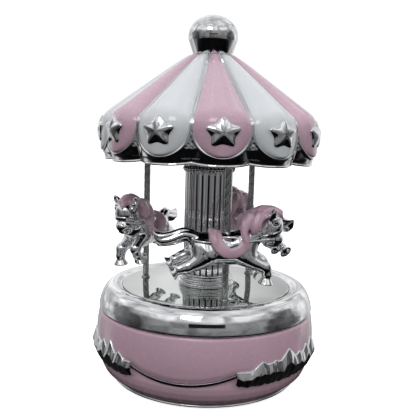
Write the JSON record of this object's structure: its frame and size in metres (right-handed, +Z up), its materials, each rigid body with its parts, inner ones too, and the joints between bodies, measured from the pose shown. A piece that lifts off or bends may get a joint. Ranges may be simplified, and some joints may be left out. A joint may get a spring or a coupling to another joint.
{
  "type": "carousel music box",
  "caption": "Wind-up carousel music box: galloping horses on twisted poles under a star-studded canopy, turning on an enamelled drum.",
  "frame": {"origin": "on the carousel's vertical axis, at the surface it stands on", "axes": "+Z up along the axis of rotation; -Y is the front"},
  "size_m": [0.1034, 0.1028, 0.1662],
  "materials": {
    "plated_metal": "polished silver-coloured plating on a zinc casting",
    "pink_enamel": "glossy pink enamel over the casting",
    "white_enamel": "glossy white enamel over the casting",
    "mirror": "flat mirror disc",
    "brass": "turned brass",
    "movement_steel": "ground steel",
    "grey_casting": "matt grey die casting",
    "cover_sheet": "satin grey painted sheet",
    "felt": "dark felt"
  },
  "bodies": {
    "base": {"base_shell": "pink_enamel", "foot_rim": "plated_metal", "felt_ring": "felt", "garland_1": "plated_metal", "garland_2": "plated_metal", "garland_3": "plated_metal", "bottom_cover": "cover_sheet", "cover_screw_1": "movement_steel", "cover_screw_2": "movement_steel", "cover_screw_3": "movement_steel", "spindle_bush": "brass", "bedplate": "grey_casting", "governor_bracket": "grey_casting", "comb": "movement_steel", "comb_block": "grey_casting", "comb_screw_1": "movement_steel", "comb_screw_2": "movement_steel", "cylinder_bearing_1": "grey_casting", "cylinder_bearing_2": "grey_casting"},
    "carousel": {"turntable": "plated_metal", "spring_barrel": "brass", "barrel_cover": "brass", "mainspring": "movement_steel", "drive_spindle": "movement_steel", "mirror_disc": "mirror", "column_base": "plated_metal", "column_shaft": "plated_metal", "column_capital": "plated_metal", "pole_1": "plated_metal", "pole_2": "plated_metal", "pole_3": "plated_metal", "horse_1": "plated_metal", "horse_2": "plated_metal", "horse_3": "plated_metal", "saddle_1": "pink_enamel", "saddle_2": "pink_enamel", "saddle_3": "pink_enamel", "mane_1": "pink_enamel", "mane_2": "pink_enamel", "mane_3": "pink_enamel", "canopy_shell": "plated_metal", "pink_panel_1": "pink_enamel", "pink_panel_2": "pink_enamel", "pink_panel_3": "pink_enamel", "pink_panel_4": "pink_enamel", "pink_panel_5": "pink_enamel", "pink_panel_6": "pink_enamel", "white_panel_1": "white_enamel", "white_panel_2": "white_enamel", "white_panel_3": "white_enamel", "white_panel_4": "white_enamel", "white_panel_5": "white_enamel", "white_panel_6": "white_enamel", "finial": "plated_metal"},
    "winding_key": {"winding_arbor": "movement_steel", "winding_key": "brass"},
    "tune_cylinder": {"tune_cylinder": "brass", "cylinder_arbor": "movement_steel"},
    "governor_wheel": {"governor_wheel": "brass"},
    "governor_fly": {"governor_fly": "movement_steel"}
  },
  "joints": [
    {"name": "carousel_spin", "type": "hinge", "parent": "base", "child": "carousel", "pos_m": [0, 0, 0.034], "axis": [0, 0, 1], "continuous": true},
    {"name": "key_turn", "type": "hinge", "parent": "base", "child": "winding_key", "pos_m": [0, 0, 0.006], "axis": [0, 0, 1], "range_deg": [0, 1710]},
    {"name": "cylinder_spin", "type": "hinge", "parent": "base", "child": "tune_cylinder", "pos_m": [0.02119, 0.01127, 0.0252], "axis": [0.8829, 0.4695, 0], "continuous": true},
    {"name": "governor_wheel_spin", "type": "hinge", "parent": "base", "child": "governor_wheel", "pos_m": [0.03548, 0.00996, 0.02234], "axis": [0.8829, 0.4695, 0], "continuous": true},
    {"name": "governor_fly_spin", "type": "hinge", "parent": "base", "child": "governor_fly", "pos_m": [0.03926, 0.0037, 0.02], "axis": [0, 0, 1], "continuous": true}
  ],
  "couplings": [
    {"joint": "cylinder_spin", "follows": "carousel_spin", "ratio": 3},
    {"joint": "governor_wheel_spin", "follows": "carousel_spin", "ratio": -6},
    {"joint": "governor_fly_spin", "follows": "carousel_spin", "ratio": -54}
  ]
}
